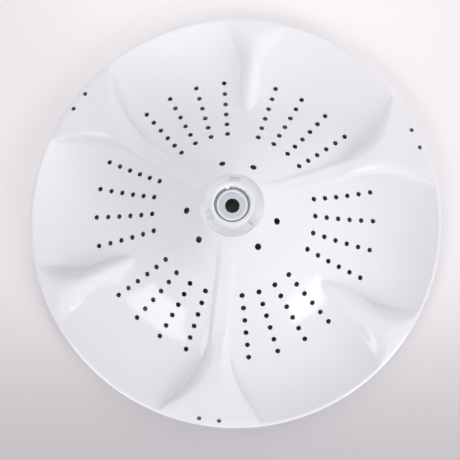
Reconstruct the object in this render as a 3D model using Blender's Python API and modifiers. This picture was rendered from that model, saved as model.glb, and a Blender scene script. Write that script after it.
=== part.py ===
"""Washing machine pulsator: a moulded disc with three broad fins and three short ones,
rows of drain holes, and a metal drive insert held in the boss at its centre.

Metres, +Z up. The origin is the middle of the plane that the ribs under the disc stand on.
Angles are measured from the centre line of the first broad fin.
"""

import math

import bmesh
import bpy

NAME = "washing_machine_pulsator"
MM = 0.001

# The whole disc
RIM_RADIUS = 205.5 * MM
WALL = 2.5 * MM
BROAD_FINS = 3
SECTOR = 2.0 * math.pi / BROAD_FINS

# The dished face: a cone round the hub that eases into a shallow trough, then up to the rim
HUB_EDGE_RADIUS = 25.4 * MM
HUB_EDGE_HEIGHT = 104.2 * MM
TROUGH_RADIUS = 162.0 * MM
TROUGH_HEIGHT = 9.8 * MM
RIM_HEIGHT = 18.0 * MM
CONE_BEND = 0.64
LIP_WIDTH = 3.0 * MM
LIP_DROP = 0.7 * MM
FLANGE_BOTTOM = 3.0 * MM

# The rim slopes outwards over the ends of the short fins
FACE_EDGE = RIM_RADIUS - LIP_WIDTH
RIM_SLOPE_WIDTH = 14.5 * MM
RIM_SLOPE_RISE = 2.5 * MM
RIM_SLOPE_START = FACE_EDGE - RIM_SLOPE_WIDTH

# The broad fins: low and narrow on the cone, level and flaring towards the rim
BROAD_RISE = 3.2 * MM
BROAD_RISE_RUN = 18.0 * MM
BROAD_LEVEL_HEIGHT = 20.6 * MM
BROAD_LEVEL_FALL = 2.4 * MM
BROAD_BLEND = 2.0 * MM
BROAD_HALF_WIDTH_AT_HUB = 8.4 * MM
BROAD_HALF_WIDTH = 9.6 * MM
BROAD_WIDENING_RUN = 60.0 * MM
FLARE_START = 116.0 * MM
FLARE_RADIUS = 100.0 * MM
FLARE_END_ANGLE = math.radians(40.0)
SHOULDER_RUN = 1.2
SHOULDER_MIN = 4.5 * MM
SHOULDER_MAX_SHARE = 0.8
SHOULDER_ROUNDNESS = 0.6
SHOULDER_ROUNDNESS_AT_HUB = 1.4
SHOULDER_SHARP_FROM = 118.0 * MM

# The short fins: ridges with a blunt nose that come out of the dish halfway down the cone
RIDGE_START = 106.5 * MM
RIDGE_START_HEIGHT = 22.0 * MM
RIDGE_END_HEIGHT = 20.6 * MM
RIDGE_NOSE_LENGTH = 50.0 * MM
RIDGE_HALF_WIDTH = 12.0 * MM
RIDGE_FLARE_START = 152.0 * MM
RIDGE_FLARE_RADIUS = 45.0 * MM
RIDGE_FLARE_END_ANGLE = math.radians(28.0)
RIDGE_ROUNDNESS = 2.2

# The drain holes
ROW_HOLE_RADIUS = 2.45 * MM
ROW_FIRST_RADIUS = 77.1 * MM
ROW_PITCH = 12.58 * MM
ROW_HOLES = 6
ROW_FIRST_ANGLE = math.radians(12.9)
ROW_ANGLE_PITCH = math.radians(12.02)
ROWS_PER_SIDE = 4
INNER_HOLE_RADIUS = 2.75 * MM
INNER_HOLE_PLACE = 39.2 * MM
INNER_HOLE_ANGLE = math.radians(40.0)
RIM_HOLE_RADIUS = 2.2 * MM
RIM_HOLE_INSET = 7.0 * MM
RIM_HOLE_ANGLE = math.radians(2.8)
HOLE_SIDES = 6
PIN_REACH = 12.0 * MM

# The hub: a web inside the hub edge, a boss above it and a sleeve below it
WEB_TOP = 102.0 * MM
WEB_THICKNESS = 4.0 * MM
BOSS_TOP = 110.6 * MM
BOSS_RADIUS = 17.6 * MM
BOSS_BORE = 14.6 * MM
BOSS_EDGE = 0.7 * MM
SLEEVE_RADIUS_AT_BOTTOM = 17.0 * MM
SLEEVE_BOTTOM = 44.0 * MM
GROOVE_DEPTH = 1.4 * MM
KEY_ANGLE = math.radians(81.8)
KEY_WIDTH = 3.4 * MM
HUB_STEPS = 30

# The seats for the clips of a centre cap
CLIP_SEAT_LENGTH = 7.6 * MM
CLIP_SEAT_WIDTH = 5.0 * MM
CLIP_SEAT_DEPTH = 1.6 * MM
CLIP_SEAT_PLACE = 20.3 * MM

# The metal drive insert
FIT_GAP = 0.3 * MM
INSERT_RADIUS = 12.9 * MM
INSERT_TOP = 101.0 * MM
INSERT_BOTTOM = 47.0 * MM
INSERT_EDGE = 0.5 * MM
BOLT_SEAT_RADIUS = 10.4 * MM
BOLT_SEAT_DEPTH = 3.6 * MM
BOLT_BORE = 5.9 * MM
BOLT_WEB = 9.0 * MM
COLLAR_RADIUS = 15.0 * MM
COLLAR_HEIGHT = 12.0 * MM
COLLAR_BOTTOM = 62.0 * MM
COLLAR_SIDES = 6
SPLINE_TEETH = 12
SPLINE_ROOT = 9.6 * MM
SPLINE_TIP = 8.5 * MM

# The ribs under the disc
RIB_INSET = 14.5 * MM
RIB_FOOT_RADIUS = 118.0 * MM
RIB_THICKNESS = 2.4 * MM
RIB_ANGLE = math.radians(30.9)
RIB_STEPS = 8

# How finely the face is divided, and where its columns follow the sides of the fins
CONE_RINGS = 5
NOSE_RINGS = 3
FLARE_RINGS = 3
RIM_RINGS = 1
INNER_DISH_COLUMNS = 2
OUTER_DISH_COLUMNS = 3
SHOULDER_COLUMN = 0.25
RIDGE_COLUMN = 0.55

# Surfaces
WHITE_PLASTIC = (0.78, 0.78, 0.82, 1.0)
PLASTIC_ROUGHNESS = 0.28
STEEL = (0.56, 0.57, 0.58, 1.0)
STEEL_ROUGHNESS = 0.32
CREASE_ANGLE = math.radians(35.0)


def smooth_step(value):
    """Ease from 0 to 1 as value goes from 0 to 1."""
    t = min(max(value, 0.0), 1.0)
    return t * t * (3.0 - 2.0 * t)


def soft_max(first, second, blend):
    """The larger of two heights, rounded over where they cross."""
    return 0.5 * (first + second + math.hypot(first - second, blend))


def arc_offset(run, radius, end_angle):
    """How far an arc has turned aside after run, going on straight past its end angle."""
    if run <= 0.0:
        return 0.0
    straight_from = radius * math.sin(end_angle)
    if run <= straight_from:
        return radius - math.sqrt(radius * radius - run * run)
    return radius * (1.0 - math.cos(end_angle)) + (run - straight_from) * math.tan(end_angle)


def dish_height(radius):
    """Height of the plain dished face."""
    if radius <= TROUGH_RADIUS:
        u = (TROUGH_RADIUS - radius) / (TROUGH_RADIUS - HUB_EDGE_RADIUS)
        rise = CONE_BEND * u ** 2 + (1.0 - CONE_BEND) * u ** 3
        return TROUGH_HEIGHT + (HUB_EDGE_HEIGHT - TROUGH_HEIGHT) * rise
    u = (radius - TROUGH_RADIUS) / (FACE_EDGE - TROUGH_RADIUS)
    return TROUGH_HEIGHT + (RIM_HEIGHT - TROUGH_HEIGHT) * u ** 2


def rim_slope_height(radius):
    """Height of the outward slope that trims the ends of the fins."""
    return RIM_HEIGHT + RIM_SLOPE_RISE * (FACE_EDGE - radius) / RIM_SLOPE_WIDTH


def broad_half_width(radius):
    """Half of a broad fin's width at its foot, measured round the disc."""
    t = smooth_step((radius - HUB_EDGE_RADIUS) / BROAD_WIDENING_RUN)
    width = BROAD_HALF_WIDTH_AT_HUB + (BROAD_HALF_WIDTH - BROAD_HALF_WIDTH_AT_HUB) * t
    return width + arc_offset(radius - FLARE_START, FLARE_RADIUS, FLARE_END_ANGLE)


def broad_rise(radius):
    """Height of a broad fin's top above the dish."""
    low = BROAD_RISE * smooth_step((radius - HUB_EDGE_RADIUS) / BROAD_RISE_RUN)
    on_cone = dish_height(min(radius, TROUGH_RADIUS)) + low
    fall = BROAD_LEVEL_FALL * (radius - FLARE_START) / (RIM_RADIUS - FLARE_START)
    level = BROAD_LEVEL_HEIGHT - fall
    return max(soft_max(on_cone, level, BROAD_BLEND) - dish_height(radius), 0.0)


def broad_shoulder(radius):
    """Width of the rounded side of a broad fin."""
    run = max(SHOULDER_RUN * broad_rise(radius), SHOULDER_MIN)
    return min(run, SHOULDER_MAX_SHARE * broad_half_width(radius))


def broad_roundness(radius):
    """How a broad fin's side is shaped: soft at the foot near the hub, crisp further out."""
    t = smooth_step((radius - HUB_EDGE_RADIUS) / (SHOULDER_SHARP_FROM - HUB_EDGE_RADIUS))
    return SHOULDER_ROUNDNESS_AT_HUB + (SHOULDER_ROUNDNESS - SHOULDER_ROUNDNESS_AT_HUB) * t


def ridge_rise(radius):
    """Height of a short fin's crest above the dish."""
    t = (radius - RIDGE_START) / (RIM_SLOPE_START - RIDGE_START)
    crest = RIDGE_START_HEIGHT + (RIDGE_END_HEIGHT - RIDGE_START_HEIGHT) * t
    return max(crest - dish_height(radius), 0.0)


def ridge_half_width(radius):
    """Half of a short fin's width at its foot, measured round the disc."""
    left = min(max(1.0 - (radius - RIDGE_START) / RIDGE_NOSE_LENGTH, 0.0), 1.0)
    nose = RIDGE_HALF_WIDTH * math.sqrt(1.0 - left * left)
    run = radius - RIDGE_FLARE_START
    return nose + arc_offset(run, RIDGE_FLARE_RADIUS, RIDGE_FLARE_END_ANGLE)


def fold_angle(angle):
    """Angle from the nearest broad fin's centre line."""
    return abs((angle + SECTOR / 2.0) % SECTOR - SECTOR / 2.0)


def face_height(radius, angle):
    """Height of the finished upper face, fins and all."""
    side = fold_angle(angle)
    height = dish_height(radius)
    shoulder = broad_shoulder(radius)
    past_edge = max(radius * side - (broad_half_width(radius) - shoulder), 0.0)
    if past_edge < shoulder:
        share = 1.0 - (past_edge / shoulder) ** 2
        height += broad_rise(radius) * share ** broad_roundness(radius)
    from_crest = radius * (SECTOR / 2.0 - side)
    half_width = ridge_half_width(radius)
    if from_crest < half_width:
        height += ridge_rise(radius) * (1.0 - (from_crest / half_width) ** RIDGE_ROUNDNESS)
    if radius > RIM_SLOPE_START:
        height = min(height, rim_slope_height(radius))
    if radius > FACE_EDGE:
        height = RIM_HEIGHT - LIP_DROP * (radius - FACE_EDGE) / LIP_WIDTH
    return height


def wall_middle(radius, angle):
    """Height of the middle of the moulded wall."""
    step = 0.5 * MM
    slope = (dish_height(radius + step) - dish_height(radius - step)) / (2.0 * step)
    return face_height(radius, angle) - 0.5 * WALL * math.hypot(1.0, slope)


def spread(start, end, count):
    """Evenly spaced values from start up to, but not with, end."""
    return [start + (end - start) * i / count for i in range(count)]


def ring_radii():
    """Radii of the rings of points that the face is made of."""
    radii = spread(HUB_EDGE_RADIUS - WALL, RIDGE_START, CONE_RINGS)
    radii += spread(RIDGE_START, RIDGE_FLARE_START, NOSE_RINGS)
    radii += spread(RIDGE_FLARE_START, RIM_SLOPE_START, FLARE_RINGS)
    radii += spread(RIM_SLOPE_START, FACE_EDGE, RIM_RINGS)
    return radii + [FACE_EDGE, RIM_RADIUS]


def half_sector_angles(radius):
    """Angles from a broad fin's centre line to a short fin's crest, along the edges of both."""
    foot = broad_half_width(radius)
    shoulder = broad_shoulder(radius)
    ridge = ridge_half_width(radius)
    middle = SECTOR / 4.0
    crest = SECTOR / 2.0
    angles = spread(0.0, (foot - shoulder) / radius, 2)
    angles += [(foot - share * shoulder) / radius for share in (1.0, SHOULDER_COLUMN)]
    angles += spread(foot / radius, middle, INNER_DISH_COLUMNS)
    angles += spread(middle, crest - ridge / radius, OUTER_DISH_COLUMNS)
    return angles + [crest - share * ridge / radius for share in (1.0, RIDGE_COLUMN)]


def column_angles(radius):
    """Angles of one ring's points, all the way round and back to the first."""
    half = half_sector_angles(radius)
    sector = half + [SECTOR / 2.0] + [SECTOR - angle for angle in reversed(half[1:])]
    turns = [fin * SECTOR + angle for fin in range(BROAD_FINS) for angle in sector]
    return turns + [BROAD_FINS * SECTOR]


def on_disc(radius, angle, height):
    """A point given by its radius, angle and height."""
    return (radius * math.cos(angle), radius * math.sin(angle), height)


def link(obj, collection, material=None):
    """Put an object in its collection and give it its material."""
    collection.objects.link(obj)
    if material is not None:
        obj.data.materials.append(material)
    return obj


def mesh_object(name, bm, collection, material=None):
    """Turn a bmesh into an object."""
    mesh = bpy.data.meshes.new(name)
    bm.to_mesh(mesh)
    bm.free()
    return link(bpy.data.objects.new(name, mesh), collection, material)


def mapped_grid(columns, rows, place):
    """A grid whose points are put in place by a rule: place(column, row)."""
    bm = bmesh.new()
    bmesh.ops.create_grid(bm, x_segments=columns, y_segments=rows, size=0.5)
    for vert in bm.verts:
        column = round((vert.co.x + 0.5) * columns)
        row = round((vert.co.y + 0.5) * rows)
        vert.co = place(column, row)
    return bm


def add_solidify(obj, thickness, offset):
    """Give a sheet its wall."""
    shell = obj.modifiers.new("wall", "SOLIDIFY")
    shell.thickness = thickness
    shell.offset = offset
    shell.use_even_offset = True


def add_boolean(obj, operation, collection):
    """Join or cut with every object of a collection."""
    boolean = obj.modifiers.new(collection.name, "BOOLEAN")
    boolean.operation = operation
    boolean.operand_type = "COLLECTION"
    boolean.collection = collection
    boolean.solver = "EXACT"


def turned(name, outline, steps, collection, material=None):
    """A closed outline of (radius, height) points turned once round the axis."""
    bm = bmesh.new()
    verts = [bm.verts.new((radius, 0.0, height)) for radius, height in outline]
    for first, second in zip(verts, verts[1:] + verts[:1]):
        bm.edges.new((first, second))
    obj = mesh_object(name, bm, collection, material)
    screw = obj.modifiers.new("turn", "SCREW")
    screw.axis = "Z"
    screw.steps = steps
    screw.render_steps = steps
    screw.use_merge_vertices = True
    screw.merge_threshold = 0.00001
    return obj


def upright_prism(name, sides, radius, bottom, top, place, collection):
    """An upright prism with its middle at place, for a hole or a socket."""
    bm = bmesh.new()
    bmesh.ops.create_cone(bm, cap_ends=True, segments=sides, radius1=radius, radius2=radius,
                          depth=top - bottom)
    bmesh.ops.translate(bm, verts=bm.verts, vec=(place[0], place[1], 0.5 * (top + bottom)))
    return mesh_object(name, bm, collection)


def upright_block(name, length, width, bottom, top, place_radius, angle, collection):
    """A block with its length across the radius at angle."""
    bm = bmesh.new()
    bmesh.ops.create_cube(bm, size=1.0)
    for vert in bm.verts:
        radial = place_radius + vert.co.x * width
        across = vert.co.y * length
        x = radial * math.cos(angle) - across * math.sin(angle)
        y = radial * math.sin(angle) + across * math.cos(angle)
        vert.co = (x, y, bottom + (vert.co.z + 0.5) * (top - bottom))
    return mesh_object(name, bm, collection)


def plain_material(name, colour, roughness, metallic):
    """A material of one colour."""
    material = bpy.data.materials.new(name)
    material.use_nodes = True
    shader = material.node_tree.nodes["Principled BSDF"]
    shader.inputs["Base Color"].default_value = colour
    shader.inputs["Roughness"].default_value = roughness
    shader.inputs["Metallic"].default_value = metallic
    return material


def new_collection(name, parent, hidden=False):
    """A collection, hidden from renders if it holds cutters and pieces to be joined."""
    collection = bpy.data.collections.new(name)
    parent.children.link(collection)
    collection.hide_render = hidden
    return collection


def as_guides(collection):
    """Show the objects of a collection as wires only."""
    for obj in collection.objects:
        obj.hide_render = True
        obj.display_type = "WIRE"


def cut_face(guides):
    """Upright pins where the drain holes go, and a drum that trims the face round the hub."""
    places = []
    for fin in range(BROAD_FINS):
        for side in (-1.0, 1.0):
            for row in range(ROWS_PER_SIDE):
                angle = fin * SECTOR + side * (ROW_FIRST_ANGLE + row * ROW_ANGLE_PITCH)
                for step in range(ROW_HOLES):
                    radius = ROW_FIRST_RADIUS + step * ROW_PITCH
                    places.append((radius, angle, ROW_HOLE_RADIUS))
            inner = fin * SECTOR + side * INNER_HOLE_ANGLE
            places.append((INNER_HOLE_PLACE, inner, INNER_HOLE_RADIUS))
            rim = fin * SECTOR + side * RIM_HOLE_ANGLE
            places.append((RIM_RADIUS - RIM_HOLE_INSET, rim, RIM_HOLE_RADIUS))
    for radius, angle, hole in places:
        x, y, height = on_disc(radius, angle, face_height(radius, angle))
        upright_prism("hole", HOLE_SIDES, hole, height - PIN_REACH, height + PIN_REACH, (x, y),
                      guides)
    upright_prism("hub_mouth", HUB_STEPS, HUB_EDGE_RADIUS, WEB_TOP - PIN_REACH,
                  WEB_TOP + PIN_REACH, (0.0, 0.0), guides)


def make_face(collection, material):
    """The dished face, turned down at the rim, as a sheet that is given its wall inwards."""
    radii = ring_radii() + [RIM_RADIUS]
    rings = [column_angles(radius) for radius in radii]
    columns = len(rings[0]) - 1
    flange_row = len(radii) - 1

    def place(column, row):
        radius = radii[row]
        angle = rings[row][column]
        height = FLANGE_BOTTOM if row == flange_row else face_height(radius, angle)
        return on_disc(radius, angle, height)

    bm = mapped_grid(columns, flange_row, place)
    bmesh.ops.remove_doubles(bm, verts=bm.verts, dist=0.00001)
    bmesh.ops.recalc_face_normals(bm, faces=bm.faces)
    if sum(face.normal.z for face in bm.faces) < 0.0:
        bmesh.ops.reverse_faces(bm, faces=bm.faces)
    bmesh.ops.triangulate(bm, faces=bm.faces)
    face = mesh_object("pulsator_body", bm, collection, material)
    add_solidify(face, WALL, -1.0)
    return face


def make_hub(joined):
    """The web, boss and sleeve, turned as one ring."""
    web_bottom = WEB_TOP - WEB_THICKNESS
    bore = INSERT_RADIUS + FIT_GAP
    outer = HUB_EDGE_RADIUS + 0.5 * WALL
    outline = [
        (BOSS_BORE + BOSS_EDGE, BOSS_TOP),
        (BOSS_RADIUS - BOSS_EDGE, BOSS_TOP),
        (BOSS_RADIUS, BOSS_TOP - BOSS_EDGE),
        (BOSS_RADIUS, WEB_TOP),
        (outer, WEB_TOP),
        (outer, web_bottom),
        (BOSS_RADIUS, web_bottom),
        (SLEEVE_RADIUS_AT_BOTTOM, SLEEVE_BOTTOM),
        (bore, SLEEVE_BOTTOM),
        (bore, INSERT_TOP - GROOVE_DEPTH),
        (BOSS_BORE, INSERT_TOP - GROOVE_DEPTH),
        (BOSS_BORE, BOSS_TOP - BOSS_EDGE),
    ]
    turned("hub", outline, HUB_STEPS, joined)
    width = BOSS_BORE - bore + 0.5 * (BOSS_RADIUS - BOSS_BORE)
    upright_block("key", KEY_WIDTH, width, INSERT_TOP - GROOVE_DEPTH - WALL,
                  INSERT_TOP - FIT_GAP, bore + 0.5 * width, KEY_ANGLE, joined)


def make_ribs(joined):
    """Upright ribs under the face, from the sleeve to the flange, clear of the rows of holes."""
    start = 0.5 * (INSERT_RADIUS + SLEEVE_RADIUS_AT_BOTTOM)
    edge = HUB_EDGE_RADIUS + 0.5 * WALL
    radii = spread(start, RIM_RADIUS - RIB_INSET, RIB_STEPS - 1)
    radii += [RIM_RADIUS - RIB_INSET, RIM_RADIUS - 0.5 * WALL]

    def place_at(angle):
        def place(column, row):
            radius = radii[column]
            inward = max(RIB_FOOT_RADIUS - radius, 0.0) / (RIB_FOOT_RADIUS - start)
            foot = SLEEVE_BOTTOM * inward ** 2
            if column == RIB_STEPS:
                foot = FLANGE_BOTTOM + 0.5 * WALL
            top = wall_middle(max(radius, edge), angle)
            top = min(top, WEB_TOP - 0.5 * WEB_THICKNESS)
            return on_disc(radius, angle, foot + (top - foot) * row)
        return place

    for fin in range(BROAD_FINS):
        for turn in (0.0, RIB_ANGLE, -RIB_ANGLE):
            bm = mapped_grid(RIB_STEPS, 1, place_at(fin * SECTOR + turn))
            rib = mesh_object("rib", bm, joined)
            add_solidify(rib, RIB_THICKNESS, 0.0)


def cut_hub(guides):
    """The clip seats in the web, and the pocket that grips the insert's collar."""
    for fin in range(BROAD_FINS):
        upright_block("clip_seat", CLIP_SEAT_LENGTH, CLIP_SEAT_WIDTH, WEB_TOP - CLIP_SEAT_DEPTH,
                      WEB_TOP + CLIP_SEAT_DEPTH, CLIP_SEAT_PLACE, (fin + 0.5) * SECTOR,
                      guides)
    upright_prism("collar_pocket", COLLAR_SIDES, COLLAR_RADIUS + FIT_GAP,
                  COLLAR_BOTTOM - FIT_GAP, COLLAR_BOTTOM + COLLAR_HEIGHT + FIT_GAP,
                  (0.0, 0.0), guides)


def make_body(parts, cuts, joins, material):
    """The moulded disc: face, hub and ribs in one piece."""
    body = make_face(parts, material)
    face_cuts = new_collection("face_cuts", cuts, True)
    cut_face(face_cuts)
    joined = new_collection("hub_and_ribs", joins, True)
    make_hub(joined)
    make_ribs(joined)
    hub_cuts = new_collection("hub_cuts", cuts, True)
    cut_hub(hub_cuts)
    add_boolean(body, "DIFFERENCE", face_cuts)
    add_boolean(body, "UNION", joined)
    add_boolean(body, "DIFFERENCE", hub_cuts)
    for guides in (face_cuts, joined, hub_cuts):
        as_guides(guides)
    return body


def spline_socket(cuts):
    """The toothed socket for the drive shaft."""
    bottom = INSERT_BOTTOM - WALL
    top = INSERT_TOP - BOLT_SEAT_DEPTH - BOLT_WEB
    socket = new_collection("spline_socket", cuts, True)
    bm = bmesh.new()
    bmesh.ops.create_cone(bm, cap_ends=True, segments=4 * SPLINE_TEETH, radius1=1.0, radius2=1.0,
                          depth=top - bottom)
    for vert in bm.verts:
        angle = math.atan2(vert.co.y, vert.co.x)
        quarter = round(angle / (2.0 * math.pi) * 4 * SPLINE_TEETH - 0.5) % 4
        radius = SPLINE_TIP if quarter < 2 else SPLINE_ROOT
        vert.co = on_disc(radius, angle, vert.co.z + 0.5 * (top + bottom))
    mesh_object("spline", bm, socket)
    return socket


def make_insert(parts, cuts, joins, material):
    """The metal insert: a turned sleeve with a bolt seat, a six-sided collar and a spline."""
    floor = INSERT_TOP - BOLT_SEAT_DEPTH
    outline = [
        (BOLT_SEAT_RADIUS, INSERT_TOP),
        (INSERT_RADIUS - INSERT_EDGE, INSERT_TOP),
        (INSERT_RADIUS, INSERT_TOP - INSERT_EDGE),
        (INSERT_RADIUS, INSERT_BOTTOM + INSERT_EDGE),
        (INSERT_RADIUS - INSERT_EDGE, INSERT_BOTTOM),
        (BOLT_BORE, INSERT_BOTTOM),
        (BOLT_BORE, floor),
        (BOLT_SEAT_RADIUS, floor),
    ]
    insert = turned("drive_insert", outline, HUB_STEPS, parts, material)
    collar = new_collection("insert_collar", joins, True)
    ring = upright_prism("collar", COLLAR_SIDES, COLLAR_RADIUS, COLLAR_BOTTOM,
                         COLLAR_BOTTOM + COLLAR_HEIGHT, (0.0, 0.0), collar)
    core = new_collection("collar_core", cuts, True)
    upright_prism("collar_bore", HUB_STEPS, 0.5 * (SPLINE_ROOT + INSERT_RADIUS),
                  COLLAR_BOTTOM - WALL, COLLAR_BOTTOM + COLLAR_HEIGHT + WALL, (0.0, 0.0), core)
    add_boolean(ring, "DIFFERENCE", core)
    add_boolean(insert, "UNION", collar)
    add_boolean(insert, "DIFFERENCE", spline_socket(cuts))
    for guides in (collar, core, *cuts.children):
        as_guides(guides)
    return insert


def smooth_shaded(obj):
    """Smooth shading, with the sharper edges left crisp."""
    obj.data.shade_smooth()
    obj.data.set_sharp_from_angle(angle=CREASE_ANGLE)


def build():
    """Build the pulsator."""
    for obj in list(bpy.data.objects):
        bpy.data.objects.remove(obj)
    scene = bpy.context.scene.collection
    parts = new_collection(NAME, scene)
    cuts = new_collection("cutters", scene, True)
    joins = new_collection("joined_forms", scene, True)
    plastic = plain_material("white_plastic", WHITE_PLASTIC, PLASTIC_ROUGHNESS, 0.0)
    metal = plain_material("bright_steel", STEEL, STEEL_ROUGHNESS, 1.0)
    body = make_body(parts, cuts, joins, plastic)
    insert = make_insert(parts, cuts, joins, metal)
    smooth_shaded(body)
    smooth_shaded(insert)


build()
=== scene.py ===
"""Washing machine pulsator, dressed for its picture.

Metres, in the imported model's frame: +Z up, the middle of the plane that the ribs stand on at
the origin, and +X along the centre line of the first broad fin.
"""

import math

import bmesh
import bpy
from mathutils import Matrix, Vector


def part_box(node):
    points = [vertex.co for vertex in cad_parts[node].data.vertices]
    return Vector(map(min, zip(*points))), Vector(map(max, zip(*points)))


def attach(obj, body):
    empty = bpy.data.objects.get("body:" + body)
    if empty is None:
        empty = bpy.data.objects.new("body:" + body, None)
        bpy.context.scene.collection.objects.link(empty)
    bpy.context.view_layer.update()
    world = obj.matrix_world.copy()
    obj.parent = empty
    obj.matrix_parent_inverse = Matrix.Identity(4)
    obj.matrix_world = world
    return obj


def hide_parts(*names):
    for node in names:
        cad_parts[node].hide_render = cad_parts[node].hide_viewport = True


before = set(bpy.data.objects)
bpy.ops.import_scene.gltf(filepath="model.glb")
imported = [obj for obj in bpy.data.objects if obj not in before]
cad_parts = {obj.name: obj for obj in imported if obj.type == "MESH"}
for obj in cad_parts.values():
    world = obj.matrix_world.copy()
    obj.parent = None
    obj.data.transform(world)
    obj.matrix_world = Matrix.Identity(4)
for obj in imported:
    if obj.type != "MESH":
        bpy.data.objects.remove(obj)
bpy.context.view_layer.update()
bpy.ops.object.select_all(action="DESELECT")


# The face of the disc. White plastic, moulded as one thin wall: a cone round the hub that eases
# into a shallow trough, three broad fins that run on level and flare like a trumpet's mouth,
# and three short fins with a blunt nose.
MM = 0.001
WALL = 2.5 * MM
SECTOR = math.radians(120.0)
body_low, body_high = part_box("pulsator_body")
rim_radius = body_high.x

HUB_EDGE_RADIUS = 25.4 * MM
HUB_EDGE_HEIGHT = 104.2 * MM
TROUGH_RADIUS = 162.0 * MM
TROUGH_HEIGHT = 9.8 * MM
RIM_HEIGHT = 18.0 * MM
CONE_BEND = 0.64
LIP_WIDTH = 3.0 * MM
LIP_DROP = 0.7 * MM
FLANGE_BOTTOM = 3.0 * MM
face_edge = rim_radius - LIP_WIDTH

RIM_SLOPE_WIDTH = 14.5 * MM
RIM_SLOPE_RISE = 2.5 * MM
rim_slope_start = face_edge - RIM_SLOPE_WIDTH

BROAD_RISE = 3.2 * MM
BROAD_RISE_RUN = 18.0 * MM
BROAD_LEVEL_HEIGHT = 20.6 * MM
BROAD_LEVEL_FALL = 2.4 * MM
BROAD_BLEND = 2.0 * MM
BROAD_HALF_WIDTH_AT_HUB = 8.4 * MM
BROAD_HALF_WIDTH = 9.6 * MM
BROAD_WIDENING_RUN = 60.0 * MM
FLARE_START = 116.0 * MM
FLARE_RADIUS = 100.0 * MM
FLARE_END_ANGLE = math.radians(40.0)
SHOULDER_RUN = 1.2
SHOULDER_MIN = 4.5 * MM
SHOULDER_MAX_SHARE = 0.8
SHOULDER_ROUNDNESS = 0.6
SHOULDER_ROUNDNESS_AT_HUB = 1.4
SHOULDER_SHARP_FROM = 118.0 * MM

RIDGE_START = 106.5 * MM
RIDGE_START_HEIGHT = 22.0 * MM
RIDGE_END_HEIGHT = 20.6 * MM
RIDGE_NOSE_LENGTH = 50.0 * MM
RIDGE_HALF_WIDTH = 12.0 * MM
RIDGE_FLARE_START = 152.0 * MM
RIDGE_FLARE_RADIUS = 45.0 * MM
RIDGE_FLARE_END_ANGLE = math.radians(28.0)
RIDGE_ROUNDNESS = 2.2
RIDGE_COLUMNS_MIN = 4.0 * MM
CREASE_EASE = 0.9 * MM
CREASE_TOE = 1.4 * CREASE_EASE

TOP_COLUMNS = 6
SHOULDER_COLUMNS = 9
TOE_COLUMNS = 2
DISH_COLUMNS = 14
RIDGE_COLUMNS = 13


def smooth_step(value):
    """Ease from 0 to 1 as value goes from 0 to 1."""
    t = min(max(value, 0.0), 1.0)
    return t * t * (3.0 - 2.0 * t)


def soft_max(first, second, blend):
    """The larger of two heights, rounded over where they cross."""
    return 0.5 * (first + second + math.hypot(first - second, blend))


def arc_offset(run, radius, end_angle):
    """How far an arc has turned aside after run, going on straight past its end angle."""
    if run <= 0.0:
        return 0.0
    straight_from = radius * math.sin(end_angle)
    if run <= straight_from:
        return radius - math.sqrt(radius * radius - run * run)
    return radius * (1.0 - math.cos(end_angle)) + (run - straight_from) * math.tan(end_angle)


def dish_height(radius):
    """Height of the plain dished face."""
    if radius <= TROUGH_RADIUS:
        u = (TROUGH_RADIUS - radius) / (TROUGH_RADIUS - HUB_EDGE_RADIUS)
        rise = CONE_BEND * u ** 2 + (1.0 - CONE_BEND) * u ** 3
        return TROUGH_HEIGHT + (HUB_EDGE_HEIGHT - TROUGH_HEIGHT) * rise
    u = (radius - TROUGH_RADIUS) / (face_edge - TROUGH_RADIUS)
    return TROUGH_HEIGHT + (RIM_HEIGHT - TROUGH_HEIGHT) * u ** 2


def broad_half_width(radius):
    """Half of a broad fin's width at its foot, measured round the disc."""
    t = smooth_step((radius - HUB_EDGE_RADIUS) / BROAD_WIDENING_RUN)
    width = BROAD_HALF_WIDTH_AT_HUB + (BROAD_HALF_WIDTH - BROAD_HALF_WIDTH_AT_HUB) * t
    return width + arc_offset(radius - FLARE_START, FLARE_RADIUS, FLARE_END_ANGLE)


def broad_rise(radius):
    """Height of a broad fin's top above the dish."""
    low = BROAD_RISE * smooth_step((radius - HUB_EDGE_RADIUS) / BROAD_RISE_RUN)
    on_cone = dish_height(min(radius, TROUGH_RADIUS)) + low
    fall = BROAD_LEVEL_FALL * (radius - FLARE_START) / (rim_radius - FLARE_START)
    level = BROAD_LEVEL_HEIGHT - fall
    return max(soft_max(on_cone, level, BROAD_BLEND) - dish_height(radius), 0.0)


def broad_shoulder(radius):
    """Width of the rounded side of a broad fin."""
    run = max(SHOULDER_RUN * broad_rise(radius), SHOULDER_MIN)
    return min(run, SHOULDER_MAX_SHARE * broad_half_width(radius))


def broad_roundness(radius):
    """How a broad fin's side is shaped: soft at the foot near the hub, crisp further out."""
    t = smooth_step((radius - HUB_EDGE_RADIUS) / (SHOULDER_SHARP_FROM - HUB_EDGE_RADIUS))
    return SHOULDER_ROUNDNESS_AT_HUB + (SHOULDER_ROUNDNESS - SHOULDER_ROUNDNESS_AT_HUB) * t


def ridge_rise(radius):
    """Height of a short fin's crest above the dish."""
    t = (radius - RIDGE_START) / (rim_slope_start - RIDGE_START)
    crest = RIDGE_START_HEIGHT + (RIDGE_END_HEIGHT - RIDGE_START_HEIGHT) * t
    return max(crest - dish_height(radius), 0.0)


def ridge_half_width(radius):
    """Half of a short fin's width at its foot, measured round the disc."""
    left = min(max(1.0 - (radius - RIDGE_START) / RIDGE_NOSE_LENGTH, 0.0), 1.0)
    nose = RIDGE_HALF_WIDTH * math.sqrt(1.0 - left * left)
    run = radius - RIDGE_FLARE_START
    return nose + arc_offset(run, RIDGE_FLARE_RADIUS, RIDGE_FLARE_END_ANGLE)


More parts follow.
